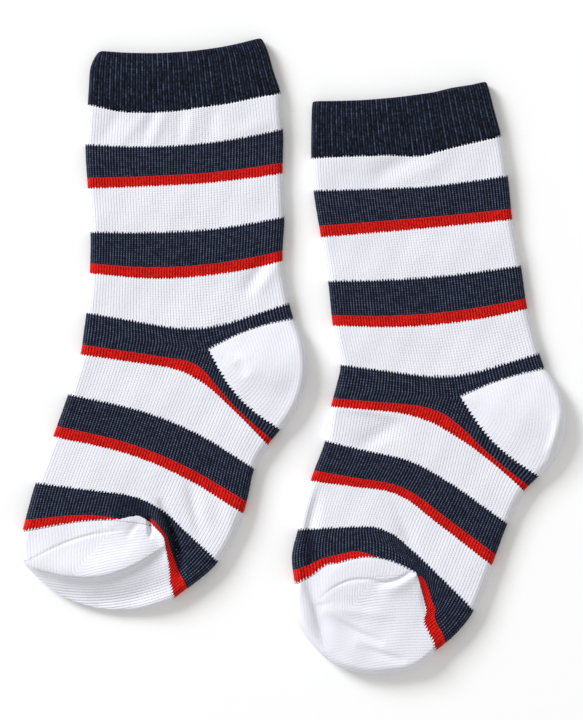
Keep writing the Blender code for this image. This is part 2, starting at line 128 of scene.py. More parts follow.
DIP = 0.045           # depth of the dip between two stitches of a wale
LOOSE = 0.03          # how much higher or lower single stitches lie
LOOSE_ROWS = 61       # rows and wales after which their luck repeats

# One section of a sock, a row of stitches: its ends at the two folds, and the corner where it turns.
# bend is the share of the face over which that is rounded, corner_at its place across the face.
# height is the top of the cloth. front_bow and back_bow bend each half towards the cuff.
Section = namedtuple(
    "Section", "course front corner back bend height front_bow back_bow corner_at",
    defaults=(0.0, 0.0, GORE),
)
LEGS = {
    "left": (
        Section(0, (-77.1, 115.5), (-37.2, 113.2), (-12.3, 120.5), 0.42, 5.2),
        Section(5, (-77.3, 111.4), (-36.9, 108.3), (-10.1, 115.9), 0.42, 5.6, -0.4),
        Section(14, (-77.8, 103.4), (-36.5, 99.9), (-7.8, 107.9), 0.42, 5.7, -0.8),
        Section(25, (-78.3, 94.9), (-35.7, 90.8), (-5.9, 99.8), 0.42, 5.2, -1.1),
        Section(44, (-79.2, 79.3), (-35.3, 77.3), (-4.1, 85.2), 0.42, 4.9),
        Section(64, (-78.3, 62.8), (-35.7, 63.5), (-4.2, 68.5), 0.42, 4.7, 0.3),
        Section(83, (-77.3, 46.1), (-35.3, 44.7), (-3.6, 51.9), 0.42, 4.7, 0.3),
        Section(103, (-77.6, 30.7), (-35.7, 26.8), (-4.2, 35.4), 0.40, 4.8, -0.2),
        Section(122, (-78.9, 15.6), (-34.1, 7.6), (-1.6, 19.1), 0.20, 5.0, back_bow=0.4),
        Section(129.5, (-79.7, 9.5), (-32.5, 1.5), (0.0, 13.3), 0.0, 5.2, back_bow=1.9),
    ),
    "right": (
        Section(0, (7.0, 96.3), (44.5, 96.9), (73.0, 103.9), 0.42, 5.2),
        Section(5, (6.7, 93.0), (45.0, 92.5), (74.2, 100.2), 0.42, 5.6),
        Section(14, (6.5, 85.4), (46.1, 84.7), (76.0, 93.1), 0.42, 5.7),
        Section(25, (6.5, 75.0), (47.9, 74.5), (78.7, 83.0), 0.42, 5.2, 0.4),
        Section(44, (7.4, 61.8), (49.8, 62.2), (81.2, 67.5), 0.42, 4.9, 0.3),
        Section(64, (10.2, 44.3), (52.1, 47.7), (83.0, 51.0), 0.42, 4.7),
        Section(83, (12.9, 27.5), (55.1, 28.0), (86.2, 33.4), 0.42, 4.7),
        Section(103, (14.7, 10.8), (57.4, 9.4), (88.7, 17.3), 0.40, 4.8),
        Section(122, (17.5, -4.2), (61.7, -10.2), (93.3, 0.1), 0.20, 5.0, back_bow=0.4),
        Section(129.5, (16.0, -11.8), (62.9, -16.3), (95.3, -5.5), 0.0, 5.2, back_bow=1.3),
    ),
}

# A fold or trough in the upper layer: its line on the plan, its height (a trough's is negative), how
# wide it is to the left and to the right of the line, and how far the line bows to its left.
Fold = namedtuple("Fold", "name start end height left right bow", defaults=(0.0, 1.0, 1.0, 0.0))
FOLDS = {
    "left": (
        Fold("toe tuck", (-109.0, -76.2), (-42.0, -66.2), 3.0, 8.5, 1.9, -11.9),
        Fold("toe slope", (-104.0, -82.0), (-42.0, -86.0), -3.6, 6.0, 7.0, -9.5),
        Fold("toe seam", (-101.0, -78.0), (-62.5, -65.9), -0.35, 0.6, 0.7, 2.4),
        Fold("ear end", (-58.0, -62.5), (-64.0, -69.5), -0.5, 1.3, 1.6),
        Fold("gore tuck", (-72.0, -62.0), (-54.0, -63.0), 1.2, 2.2, 4.0, 2.0),
        Fold("gore pit", (-54.6, -60.5), (-54.2, -69.5), -2.6, 0.8, 0.8),
        Fold("sole ridge", (-57.0, -54.0), (-46.5, -80.0), 1.7, 1.6, 2.2, 1.8),
        Fold("sole valley", (-51.5, -54.0), (-42.5, -85.0), -3.4, 1.8, 1.3, 1.6),
        Fold("below cuff 1", (-63.5, 95.0), (-74.5, 79.0), -0.36, 2.6, 2.4),
        Fold("below cuff 2", (-53.5, 95.0), (-67.5, 77.5), 0.36, 2.0, 2.4),
        Fold("below cuff 3", (-52.2, 95.0), (-58.5, 77.0), -0.34, 1.8, 1.8),
        Fold("below cuff 4", (-47.5, 95.0), (-55.0, 77.0), 0.34, 2.0, 2.0),
        Fold("below cuff 5", (-42.5, 95.0), (-44.5, 76.5), -0.32, 2.2, 2.2),
        Fold("below cuff 6", (-37.5, 95.0), (-41.0, 77.0), 0.3, 2.4, 2.2),
        Fold("below cuff 7", (-30.5, 95.5), (-32.5, 78.0), -0.4, 2.6, 2.6),
        Fold("below cuff 8", (-2.0, 90.0), (-29.5, 81.5), 0.35, 3.0, 3.0),
        Fold("ankle trough", (-9.0, 38.5), (-19.5, 22.0), -0.9, 2.4, 2.8),
        Fold("ankle ridge", (-4.5, 37.5), (-15.5, 21.5), 0.5, 2.4, 2.2),
        Fold("heel dimple", (-22.0, -2.6), (-17.6, -8.0), -0.55, 2.2, 2.2),
        Fold("heel bump", (-22.0, 0.8), (-15.5, -1.5), 0.2, 2.2, 2.2),
        Fold("heel crown", (-27.0, -2.0), (-1.5, -13.0), 0.9, 5.0, 4.5, 1.0),
        Fold("arch trough", (-40.5, -45.5), (-35.0, -70.0), -0.9, 2.6, 2.2),
        Fold("arch ridge", (-27.0, -50.0), (-22.0, -71.0), 0.6, 3.2, 3.0),
    ),
    "right": (
        Fold("instep trough", (10.0, -49.0), (5.0, -81.0), -1.25, 2.4, 1.9, -1.5),
        Fold("toe side trough", (2.6, -79.0), (11.8, -112.0), -1.1, 3.4, 1.8, 0.9),
        Fold("toe side nick", (7.0, -95.2), (14.5, -94.0), -0.25, 0.9, 2.5),
        Fold("toe edge roll", (1.5, -72.0), (9.0, -112.0), 0.6, 3.0, 2.0, -2.5),
        Fold("toe crown", (10.0, -86.0), (44.0, -82.0), 1.2, 4.0, 9.0, 6.0),
        Fold("toe seam front", (9.5, -92.0), (36.5, -86.6), -0.45, 0.6, 0.8, 4.2),
        Fold("toe seam back", (29.0, -86.2), (46.4, -80.4), -1.15, 0.9, 1.4, -2.2),
        Fold("gore ridge", (32.0, -89.5), (46.0, -82.0), 0.75, 1.6, 3.0, -1.0),
        Fold("toe ridge", (10.5, -95.5), (38.5, -99.0), 0.5, 2.0, 2.2),
        Fold("toe crease", (11.0, -97.5), (34.5, -109.3), -1.2, 1.4, 2.8, -0.8),
        Fold("toe tip crease", (23.5, -109.6), (43.0, -116.0), -0.9, 1.4, 2.2, -0.4),
        Fold("sole kink", (49.0, -86.0), (53.0, -101.0), -0.7, 1.6, 1.6, -1.0),
        Fold("below cuff 1", (51.5, 78.8), (29.0, 66.5), -0.9, 3.2, 3.6),
        Fold("below cuff 2", (61.5, 76.0), (36.5, 63.5), 0.3, 3.0, 2.6),
        Fold("below cuff 3", (8.0, 73.0), (33.0, 71.0), 0.2, 3.0, 3.0),
        Fold("instep ridge", (14.5, -20.0), (40.0, -24.0), 0.7, 1.6, 1.8, 1.0),
        Fold("instep hollow", (40.5, -24.5), (23.0, -36.5), -0.95, 3.2, 3.4),
        Fold("arch hollow", (37.5, -55.0), (47.0, -78.0), -0.7, 3.2, 3.0),
        Fold("heel rim", (100.0, -21.0), (95.0, -39.0), 0.8, 1.3, 1.5, 1.2),
    ),
}

# Where folds pull the cloth along the table: about a place, by how much, and how far round.
Pull = namedtuple("Pull", "place by spread")
PULLS = {
    "left": (
        Pull((-49.8, -69.4), (0.9, 0.4), 3.5),
        Pull((-47.0, -85.5), (-0.7, -0.1), 4.0),
        Pull((-66.0, 92.0), (0.0, -0.8), 9.0),
        Pull((-5.5, 100.0), (0.9, -0.6), 5.0),
    ),
    "right": (
        Pull((47.5, 76.5), (0.0, -1.3), 9.0),
        Pull((43.5, -43.5), (0.3, 1.0), 12.0),
        Pull((7.0, 76.0), (0.0, -0.5), 6.0),
        Pull((12.0, -81.5), (0.2, 1.7), 4.2),
        Pull((51.8, -96.4), (1.3, 0.0), 1.9),
        Pull((50.8, -102.0), (-1.9, 0.3), 4.4),
    ),
}

# Slack cotton never lies quite even: low waves over the whole upper layer.
Wave = namedtuple("Wave", "length direction phase height")
WAVES = (
    Wave(31.0, 20, 0.4, 0.10),
    Wave(23.0, 105, 2.1, 0.09),
    Wave(14.5, 70, 4.0, 0.06),
    Wave(11.0, 150, 1.2, 0.05),
)


def smooth_through(knots, values, at):
    """Values on a smooth curve through values at uneven knots, at an array of places."""
    knots, values = np.array(knots, float), np.array(values, float)
    low, high = np.r_[0, 0 : len(knots) - 1], np.r_[1 : len(knots), len(knots) - 1]
    run = (knots[high] - knots[low]).reshape(-1, *[1] * (values.ndim - 1))
    slopes = (values[high] - values[low]) / run
    i = np.clip(np.searchsorted(knots, at, side="right") - 1, 0, len(knots) - 2)
    span = knots[i + 1] - knots[i]
    t = (at - knots[i]) / span
    if values.ndim > 1:
        span, t = span[..., None], t[..., None]
    return (
        (2 * t**3 - 3 * t**2 + 1) * values[i]
        + (t**3 - 2 * t**2 + t) * slopes[i] * span
        + (3 * t**2 - 2 * t**3) * values[i + 1]
        + (t**3 - t**2) * slopes[i + 1] * span
    )


def section_at(sections, course):
    """The sections' figures at an array of courses."""
    knots = [s.course for s in sections]
    figures = [
        smooth_through(knots, [getattr(s, name) for s in sections], course)
        for name in Section._fields[1:]
    ]
    return Section(course, *figures)


def row_place(section, u):
    """Places on the plan along rows, at u from the front fold (0) to the back fold (1)."""
    bend = np.maximum(section.bend, 1e-9)
    past = u - section.corner_at
    turned = np.where(np.abs(past) < bend, (past + bend) ** 2 / (4 * bend), np.maximum(past, 0))
    front_share = (u - turned) / section.corner_at
    back_share = turned / (1 - section.corner_at)
    to_corner, to_back = section.corner - section.front, section.back - section.corner
    place = section.front + to_corner * front_share[..., None] + to_back * back_share[..., None]
    before = past < 0
    run = np.where(before[..., None], to_corner, to_back)
    share = np.where(before, u / section.corner_at, past / (1 - section.corner_at))
    bow = np.where(before, section.front_bow, section.back_bow)
    share = share ** np.where(before, BOW_SKEW, np.interp(section.course, *TOE_SKEW))
    lift = bow * np.sin(math.pi * share) / np.hypot(run[..., 0], run[..., 1])
    return place + np.stack([-run[..., 1] * lift, run[..., 0] * lift], -1)


def half_lengths(sections, courses):
    """Lengths of the rows' front and back halves, up to the gore and from it."""
    steps = 9
    section = section_at(sections, courses[:, None])
    for start, end in ((0.0, GORE), (GORE, 1.0)):
        places = row_place(section, np.linspace(start, end, steps)[None, :])
        yield np.linalg.norm(np.diff(places, axis=1), axis=2).sum(1)


def beside(fold, place):
    """How far places are to the left of a fold's line, and how near to its middle (1)."""
    run = np.subtract(fold.end, fold.start)
    length = np.hypot(*run)
    offset = place - np.array(fold.start)
    taper = np.sin(math.pi * np.clip(offset @ run / length**2, 0, 1))
    leftwards = (offset[..., 1] * run[0] - offset[..., 0] * run[1]) / length
    return leftwards - fold.bow * taper, taper


def lifted(folds, place):
    """What folds add up to at an array of places."""
    total = 0.0
    for fold in folds:
        leftwards, taper = beside(fold, place)
        width = np.where(leftwards > 0, fold.left, fold.right)
        total = total + fold.height * taper * np.exp(-((leftwards / width) ** 2))
    return total


def unevenness(side, place):
    """How far the folds and waves lift (or lower) the upper layer at an array of places."""
    total = lifted(FOLDS[side], place)
    for wave in WAVES:
        heading = math.radians(wave.direction)
        along = place[..., 0] * math.cos(heading) + place[..., 1] * math.sin(heading)
        total = total + wave.height * np.sin(2 * math.pi * along / wave.length + wave.phase)
    return total


def over_edge(share, width, radius, climb):
    """Round a fold edge and on to the gore, at a share of the cloth's length from the edge.

    Gives the distance from the edge on the plan, the share of the climb, and the whole length.
    """
    steps = 33
    angle = np.linspace(0, math.pi / 2, steps)
    pace = np.hypot(radius * np.sin(angle), climb * np.cos(angle))
    round_it = np.r_[0, np.cumsum((pace[1:] + pace[:-1]) / 2) * angle[1]]
    whole = width - radius + round_it[-1]
    turned = np.interp(share * whole, round_it, angle)
    level = np.maximum(share * whole - round_it[-1], 0)
    return radius * (1 - np.cos(turned)) + level, np.sin(turned), whole


TOP_EDGE = (TOP_ROUND, (1 - EDGE_LEVEL) * USUAL_HEIGHT)
FLOOR_EDGE = (FLOOR_ROUND, EDGE_LEVEL * USUAL_HEIGHT)


def over_layer(share, width, on_top):
    """The same, over the upper layer's edge where on_top holds and over the lower one's elsewhere."""
    top, floor = over_edge(share, width, *TOP_EDGE), over_edge(share, width, *FLOOR_EDGE)
    return np.where(on_top, top[0], floor[0]), np.where(on_top, top[1], floor[1]), top[2]


def pulled(side, place):
    """Places on the plan after the pulls on them."""
    shift = 0.0
    for pull in PULLS[side]:
        apart = ((place - np.array(pull.place)) ** 2).sum(-1)
        shift = shift + np.exp(-apart / pull.spread**2)[..., None] * pull.by
    return place + shift


def levels(side, place, height, rise, on_top):
    """Points of the cloth's outside from their places on the plan."""
    place = pulled(side, place)
    edge = EDGE_LEVEL * height
    above = edge + (height + unevenness(side, place) - edge) * rise
    z = np.where(on_top, above, edge * (1 - rise))
    return np.concatenate([place, z[..., None]], -1)


def tube(side, sections):
    """The outside of a knitted tube, as a function of the course and of the wale round it."""
    knots = np.arange(sections[0].course, sections[-1].course + 1.0)
    front_lengths, back_lengths = half_lengths(sections, knots)

    def surface(course, wale):
        front = np.interp(course, knots, front_lengths)
        back = np.interp(course, knots, back_lengths)
        section = section_at(sections, course)
        wale = wale % ROUND_WALES
        on_top = wale < FACE_WALES
        wale = np.where(on_top, wale, ROUND_WALES - wale)
        in_front = wale < GORE_WALE
        share = np.where(in_front, wale / GORE_WALE, (FACE_WALES - wale) / (FACE_WALES - GORE_WALE))
        distance, rise, _ = over_layer(share, np.where(in_front, front, back), on_top)
        u = np.where(in_front, distance * GORE / front, 1 - distance * (1 - GORE) / back)
        return levels(side, row_place(section, u), section.height, rise, on_top)

    return surface


def moved_in(surface, down, across, depth):
    """Points of a surface moved towards its inside by a depth."""
    step = 0.02
    here = surface(down, across)
    normal = np.cross(surface(down + step, across) - here, surface(down, across + step) - here)
    normal /= np.linalg.norm(normal, axis=-1, keepdims=True)
    return here - normal * np.broadcast_to(depth, here.shape[:-1])[..., None]


class Cloth:
    """Points and faces of one closed wall of knitted cloth, with each point's place in the knit."""

    ROWS_EACH = 8     # rows of the outside for one row of the inside
    COLUMNS_EACH = 4  # the same across

    def __init__(self):
        self.points, self.knit, self.faces, self.cut = [], [], [], []

    def grid(self, points, wale, course, join=FAR, clear=1.0):
        """Adds rows of points and gives their numbers.

        join is how many courses past a join, and clear how plainly the stitches show.
        """
        first = sum(len(p) for p in self.points)
        shape = points.shape[:2]
        self.points.append(points.reshape(-1, 3))
        knit = np.stack(np.broadcast_arrays(wale, course, join, clear, points[..., 0])[:4], -1)
        self.knit.append(knit.reshape(-1, 4))
        return first + np.arange(shape[0] * shape[1]).reshape(shape)

    def quads(self, numbers, turned=False):
        corners = [numbers[:-1, :-1], numbers[1:, :-1], numbers[1:, 1:], numbers[:-1, 1:]]
        if turned:
            corners.reverse()
        self.faces += np.stack(corners, -1).reshape(-1, 4).tolist()

    def outside(self, numbers, fine, closed):
        """Fine faces over the columns that show, and faces twice as long over the rest."""
        self.quads(numbers[:, : fine + 1])
        coarse = numbers[::2]
        last = -1 if closed else None
        self.quads(coarse[:, fine + 1 : last])
        for r in range(len(coarse) - 1):
            edge = numbers[2 * r : 2 * r + 3, fine].tolist()
            self.faces.append([*edge, coarse[r + 1, fine + 1], coarse[r, fine + 1]])
            if closed:
                edge = numbers[2 * r : 2 * r + 3, -1].tolist()
                self.faces.append([*edge[::-1], coarse[r, -2], coarse[r + 1, -2]])

    def edge(self, outer, inner, each, turned=False):
        """The cloth's cut edge, from a line of the outside to the inside's coarser line."""
        stops = list(range(0, len(outer) - 1, each)) + [len(outer) - 1]
        for k, (start, stop) in enumerate(zip(stops, stops[1:])):
            face = [*outer[start : stop + 1].tolist(), int(inner[k + 1]), int(inner[k])]
            self.cut.append(face[::-1] if turned else face)

    def finish(self, name, material, merge=0.0):
        """Turns the cloth into a named object that rides on the frame."""
        points = np.concatenate(self.points)
        knit = np.concatenate(self.knit)
        faces = self.faces + self.cut
        used, again = np.unique(np.concatenate([np.ravel(f) for f in faces]), return_inverse=True)
        places = (points[used] - np.array([*MIDDLE, 0.0])) * MM
        stops = np.cumsum([len(f) for f in faces])[:-1]
        mesh = bpy.data.meshes.new(name)
        mesh.from_pydata(places.tolist(), [], [f.tolist() for f in np.split(again, stops)])
        mesh.uv_layers.new(name="knit").data.foreach_set("uv", knit[used][again][:, :2].ravel())
        for column, figure in ((2, "join"), (3, "clear")):
            attribute = mesh.attributes.new(name=figure, type="FLOAT", domain="POINT")
            attribute.data.foreach_set("value", knit[used][:, column])
        smooth = [True] * len(self.faces) + [False] * len(self.cut)
        mesh.polygons.foreach_set("use_smooth", smooth)
        if merge:
            bm = bmesh.new()
            bm.from_mesh(mesh)
            bmesh.ops.remove_doubles(bm, verts=bm.verts, dist=merge * MM)
            bm.to_mesh(mesh)
            bm.free()
        mesh.materials.append(material)
        piece = bpy.data.objects.new(name, mesh)
        bpy.context.scene.collection.objects.link(piece)
        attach(piece, "root")
        return piece


def smooth_step(value, start, stop):
    """0 up to a start, 1 from a stop on, and an even curve between."""
    share = np.clip((value - start) / (stop - start), 0, 1)
    return share * share * (3 - 2 * share)


def crest_of(wale):
    """1 along the middle of a wale, 0 in the valley between two."""
    return 1 - np.abs(2 * (wale % 1) - 1)


luck = np.random.default_rng(7).normal(size=(LOOSE_ROWS, LOOSE_ROWS)).clip(-2, 2)


def stitches(course, wale):
    """Depth of plain knitting below the cloth's outside, no two stitches quite alike."""
    crest = crest_of(wale)
    row = course - LEAN * crest
    between = 0.5 - 0.5 * np.cos(2 * math.pi * row)
    own = luck[np.round(row).astype(int) % LOOSE_ROWS, np.floor(wale).astype(int) % LOOSE_ROWS]
    return VALLEY * (1 - crest) + DIP * between + LOOSE * own * crest * (1 - between)


def ribs(course, wale):
    """Depth of one-and-one rib below the cloth's outside."""
    valley = (0.5 - 0.5 * np.cos(math.pi * (wale - 0.5))) ** RIB_FULLNESS
    return RIB_DEPTH * valley + DIP * (0.5 - 0.5 * np.cos(2 * math.pi * course))


def knit_round(cloth, surface, courses, relief, wall, seen):
    """Adds a stretch of tube: its outside, stitch by stitch, and its plain inside.

    seen gives the courses that show at courses, wales and places, how far those are past a join, and
    how plainly their stitches show.
    """
    wale = HALF_WALES
    fine = 2 * (FINE_WALES[1] - FINE_WALES[0])
    lean = LEAN * crest_of(wale)
    lean[:, fine:] = 0
    calm = np.minimum(courses - courses[0], courses[-1] - courses)[:, None]
    course = courses[:, None] + lean * np.clip(calm / 2, 0, 1)
    points = moved_in(surface, course, wale, relief(course, wale))
    outer = cloth.grid(points, wale, *seen(course, wale, points[..., :2]))
    cloth.outside(outer, fine, closed=True)
    rows = list(range(0, len(courses) - 1, cloth.ROWS_EACH)) + [len(courses) - 1]
    inner_wale, inner_course = wale[:, :: cloth.COLUMNS_EACH], courses[rows][:, None]
    inner_points = moved_in(surface, inner_course + 0 * inner_wale, inner_wale, wall)
    inner = cloth.grid(inner_points, inner_wale, inner_course)
    cloth.quads(inner, turned=True)
    return outer, inner


class Wire:
    """One output of a material's node, so that sums on it read as sums."""

    def __init__(self, tree, socket=None):
        self.tree, self.socket = tree, socket

    def node(self, kind, settings=None, sockets=None, out=0):
        """Adds a node: first its settings, then its sockets' values or links."""
        made = self.tree.nodes.new(kind)
        for name, value in (settings or {}).items():
            setattr(made, name, value)
        for name, value in (sockets or {}).items():
            if isinstance(value, Wire):
                self.tree.links.new(value.socket, made.inputs[name])
            else:
                made.inputs[name].default_value = value
        return Wire(self.tree, made.outputs[out])

    def math(self, operation, *others):
        return self.node("ShaderNodeMath", {"operation": operation}, dict(enumerate((self, *others))))

    def __add__(self, other):
        return self.math("ADD", other)

    def __sub__(self, other):
        return self.math("SUBTRACT", other)

    def __mul__(self, other):
        return self.math("MULTIPLY", other)

    def __rsub__(self, other):
        return self * -1 + other

    __radd__ = __add__
    __rmul__ = __mul__

    def above(self, level):
        """1 where this is more than a level, else 0."""
        return self.math("GREATER_THAN", level)

    def ramp(self, low, high):
        """From 0 at a low value to 1 at a high one, and level beyond."""
        sockets = {"Value": self, "From Min": low, "From Max": high}
        return self.node("ShaderNodeMapRange", {"interpolation_type": "SMOOTHSTEP"}, sockets)

    def at_least(self, least):
        """This share, drawn up so that it starts from a least one."""
        return least + (1 - least) * self

    def wave(self):
        """A wave from 0 to 1 that repeats for every 1 that this grows by, 1 at whole numbers."""
        return (self * (2 * math.pi)).math("COSINE") * 0.5 + 0.5

    def blend(self, first, second):
        """A colour between two colours, by this share of the second."""
        sockets = {0: self, 6: first, 7: second}
        return self.node("ShaderNodeMix", {"data_type": "RGBA", "clamp_factor": True}, sockets, 2)


# Where a place lies in the knit: its wale and course, how near it is to the middle of its wale (1),
# how many courses past a join, and how plainly stitches show, which on the foot also paints light on
# folds' ridges and shade in their troughs. luck is a stitch's own chance. speck and blotch are softer,
# finer and coarser than a stitch, and streak follows the wales.
Knit = namedtuple("Knit", "place wale course crest join clear luck speck blotch streak")


STREAK = 0.14         # width of a streak, as a share of its length


def knit_wires(tree):
    """The figures of the knit as they vary over a piece."""
    start = Wire(tree)
    place = start.node("ShaderNodeUVMap", {"uv_map": "knit"})
    wale = start.node("ShaderNodeSeparateXYZ", sockets={"Vector": place})
    course = Wire(tree, wale.socket.node.outputs["Y"])
    crest = 1 - (wale.math("FRACT") * 2 - 1).math("ABSOLUTE")
    join, clear = (
        start.node("ShaderNodeAttribute", {"attribute_name": figure}, out="Fac")
        for figure in ("join", "clear")
    )
    stitch = {"X": wale.math("FLOOR"), "Y": (course - crest * LEAN).math("ROUND")}
    cell = start.node("ShaderNodeCombineXYZ", sockets=stitch)
    luck = start.node("ShaderNodeTexWhiteNoise", {"noise_dimensions": "2D"}, {"Vector": cell})
    drawn_out = start.node("ShaderNodeCombineXYZ", sockets={"X": wale, "Y": course * STREAK})
    speck, blotch, streak = (
        start.node(
            "ShaderNodeTexNoise", {"noise_dimensions": "2D"}, {"Vector": where, "Scale": scale}
        ).ramp(0.3, 0.7)
        for where, scale in ((place, 1.9), (place, 0.7), (drawn_out, 0.9))
    )
    return Knit(place, wale, course, crest, join, clear, luck, speck, blotch, streak)


FIBRES = 5.0          # clumps of loose fibres to a stitch's width
FIBRE_SHARE = 0.4     # their share of the fine relief
LUCK_SHARE = 0.3      # the share of it by which stitches differ


def yarn_material(name, colour, height, bump):
    """A matt cotton surface with a colour and a height that vary over it."""
    made = bpy.data.materials.new(name)
    made.use_nodes = True
    tree = made.node_tree
    knit = knit_wires(tree)
    sockets = {"Vector": knit.place, "Scale": FIBRES}
    fibres = knit.place.node("ShaderNodeTexNoise", {"noise_dimensions": "2D"}, sockets)
    shader = tree.nodes["Principled BSDF"]
    tree.links.new(colour(knit).socket, shader.inputs["Base Color"])
    relief = (height(knit) + knit.luck * LUCK_SHARE) * knit.clear + fibres * FIBRE_SHARE
    sockets = {"Height": relief, "Strength": 1.0, "Distance": bump * MM}
    normal = knit.place.node("ShaderNodeBump", {}, sockets)
    tree.links.new(normal.socket, shader.inputs["Normal"])
    shader.inputs["Roughness"].default_value = 0.9
    shader.inputs["Specular IOR Level"].default_value = 0.12
    shader.inputs["Sheen Weight"].default_value = 0.05
    shader.inputs["Sheen Roughness"].default_value = 0.5
    return made


# The white's valley colour is painted shade: the yarn drawn darker where wales and stitches meet.
WHITE_CREST, WHITE_VALLEY_SHADE = linear(236, 237, 245), linear(216, 217, 227)
NAVY_DEEP, NAVY_CREST, NAVY_VALLEY = linear(2, 4, 12), linear(12, 17, 36), linear(111, 122, 154)
# The red's valley colour is painted shade: the yarn drawn darker between wales.
RED_DEEP, RED_CREST, RED_VALLEY_SHADE = linear(190, 10, 6), linear(250, 34, 23), linear(72, 0, 0)
CUFF_DEEP, CUFF_CREST, CUFF_VALLEY = linear(0, 1, 5), linear(11, 17, 32), linear(76, 88, 116)
TOOTH = 1.3           # how far a stitch's tip reaches into the row above, in courses


def tip_of(knit):
    """How far a place is drawn up into the next row, in courses."""
    return knit.crest * TOOTH * (0.6 + 0.6 * knit.blotch)


def leg_starts(knit, level):
    """Where the leg's white yarn shows, beside the teeth of the cuff's navy one."""
    return (level + tip_of(knit)).above(0.6)


def cuff_colour(knit):
    """Very dark columns, and light yarn between them, more of it in every second valley."""
    deep = (knit.wale * 0.5 - 0.75).wave().ramp(0.8, 1.0) * knit.streak.at_least(0.25)
    slight = (knit.wale * 0.5 - 0.25).wave().ramp(0.85, 1.0) * (0.1 + 0.4 * knit.blotch)
    line = (deep + slight) * knit.luck.at_least(0.25)
    ground = (0.6 * knit.speck + 0.4 * knit.luck).blend(CUFF_DEEP, CUFF_CREST)
    navy = line.blend(ground, CUFF_VALLEY)
    return leg_starts(knit, knit.join).blend(navy, WHITE_CREST)


def cuff_height(knit):
    return knit.course.wave() * 0.5 + (knit.wale * 0.5 - 0.25).wave() * 0.5


cuff_yarn = yarn_material("navy_rib", cuff_colour, cuff_height, 0.12)
RIM_ROWS = 4          # rows round the fold at the cuff's upper edge
# A cuff's upper edge: where its front corner is in X, how far that is drawn in, round which wale the
# back layer reaches higher, and by how many courses.
Edge = namedtuple("Edge", "corner drawn_in wale higher")
EDGES = {"left": Edge(-77.3, 3.6, 90, 0.0), "right": Edge(6.8, 0.0, 86, 0.6)}
CORNER_COURSES = 10   # how far down the corner is drawn in
CORNER_SPREAD = 3.2   # and how far across
HIGHER_SPREAD = 6     # over how many wales the back layer reaches higher


def cuff_surface(side):
    """The outside of a cuff, with its upper edge as it lies."""
    edge = EDGES[side]
    even = tube(side, LEGS[side])

    def surface(course, wale):
        near = np.clip(1 - course / CORNER_COURSES, 0, 1.2) ** 2
        higher = edge.higher * near * np.exp(-(((wale - edge.wale) / HIGHER_SPREAD) ** 2))
        points = even(course - higher, wale)
        across = np.maximum(points[..., 0] - edge.corner, 0)
        drawn_in = edge.drawn_in * near * np.exp(-across / CORNER_SPREAD)
        return points + drawn_in[..., None] * (1, 0, 0)

    return surface


def make_cuff(side):
    cloth = Cloth()
    surface = cuff_surface(side)
    radius = WELT / 2
    first = radius / COURSE
    courses = np.arange(first, CUFF_END - 0.25, 0.5)
    courses = courses[: len(courses) - 1 + len(courses) % 2]   # an odd number, for the longer faces
    courses[-1] = CUFF_END - KNIT_GAP

    def seen(course, wale, place):
        return course, course - CUFF_END, 1.0

    outer, inner = knit_round(cloth, surface, courses, ribs, WELT, seen)
    angle = np.linspace(0, math.pi, RIM_ROWS + 2)[1:-1, None]
    course = first - radius * np.sin(angle) / COURSE + 0 * HALF_WALES
    depth = radius * (1 - np.cos(angle)) + ribs(course, HALF_WALES) * (1 + np.cos(angle)) / 2
    rim = cloth.grid(moved_in(surface, course, HALF_WALES, depth), HALF_WALES, course)
    cloth.quads(np.concatenate([rim[::-1], outer[:1]]))
    cloth.edge(rim[-1], inner[0], cloth.COLUMNS_EACH)
    cloth.edge(outer[-1], inner[-1], cloth.COLUMNS_EACH, turned=True)
    piece = cloth.finish(f"{side}_cuff_rib", cuff_yarn, merge=0.05)
    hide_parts(f"{side}_cuff")


for side in LEGS:
    make_cuff(side)


# ---------------- striped legs and feet
# Leg and foot are one tube of plain cotton knitting on 144 needles. Three yarns change places in it
# for the stripes, always white, navy and a narrow red. A slit behind the gore takes the heel pocket.
HEEL_AT = 129.5       # the course where the heel pocket is set in
TOE_AT = 220          # the course where the toe pocket starts
JERSEY = 1.3          # wall of leg and foot
STRIPE_REPEAT = 39    # courses from one white stripe to the next
NAVY_FROM = 19        # courses of white, before navy starts
RED_FROM = 34         # before red starts
TUCKED = 5.2          # how many of the last rows slip under the toe's edge
TUCK_AT = 206         # the course from which rows are drawn in for that
Tuck = namedtuple("Tuck", "start full out stop")   # the wales over which they slip under
TUCKS = {"left": Tuck(14, 44, 41.4, 42), "right": Tuck(20, 32, 42, 48)}
# Where rows run ahead by a few: about one wale, between a first and a last course.
Stray = namedtuple("Stray", "wale spread first most last rows")
STRAYS = {
    "left": (
        Stray(58, 10, 136, 141, 158, 2.6),
        Stray(71, 7, 200, 212, 220, 1.4),
        Stray(45, 5, 200, 213, 220, 2.2),
    ),
    "right": (
        Stray(61, 10, 136, 141, 158, 2.4),
        Stray(51, 5, 200, 212, 224, 2.0),
    ),
}
# Where the toe's edge folds up over the foot, without teeth.
EARS = {"left": (Stray(38, 5.2, 198, 212, 240, 6.0),), "right": ()}
